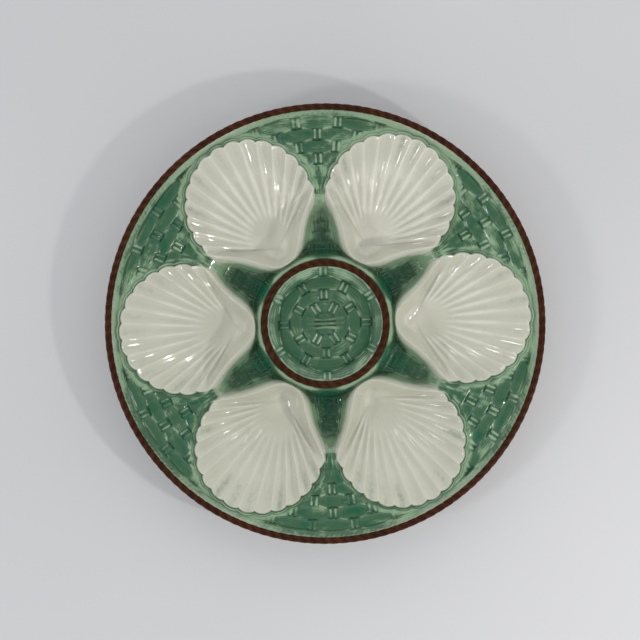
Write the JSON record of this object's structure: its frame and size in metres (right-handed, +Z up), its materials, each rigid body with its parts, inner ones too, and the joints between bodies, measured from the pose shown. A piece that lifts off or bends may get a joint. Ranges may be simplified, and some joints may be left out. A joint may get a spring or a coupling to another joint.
{
  "type": "oyster plate",
  "caption": "Round majolica oyster plate: scallop-shaped wells round a woven centre well, set in green basketwork with twisted rope borders, on a low foot ring.",
  "frame": {"origin": "centre of the ground face of the foot ring, on the axis of the plate", "axes": "+Z up along the axis of the plate, +X along the axis of the first shell well"},
  "size_m": [0.245, 0.245, 0.026],
  "materials": {
    "cream_glaze": "gloss",
    "green_glaze": "gloss",
    "brown_glaze": "gloss",
    "bare_foot": "matte"
  },
  "bodies": {
    "root": {"plate_body": "green_glaze", "foot_ring": "bare_foot", "rim_rope": "brown_glaze", "centre_rope": "brown_glaze", "centre_weave": "green_glaze", "shell_well_1": "cream_glaze", "shell_well_2": "cream_glaze", "shell_well_3": "cream_glaze", "shell_well_4": "cream_glaze", "shell_well_5": "cream_glaze", "shell_well_6": "cream_glaze", "basket_panel_1": "green_glaze", "basket_panel_2": "green_glaze", "basket_panel_3": "green_glaze", "basket_panel_4": "green_glaze", "basket_panel_5": "green_glaze", "basket_panel_6": "green_glaze"}
  },
  "joints": []
}
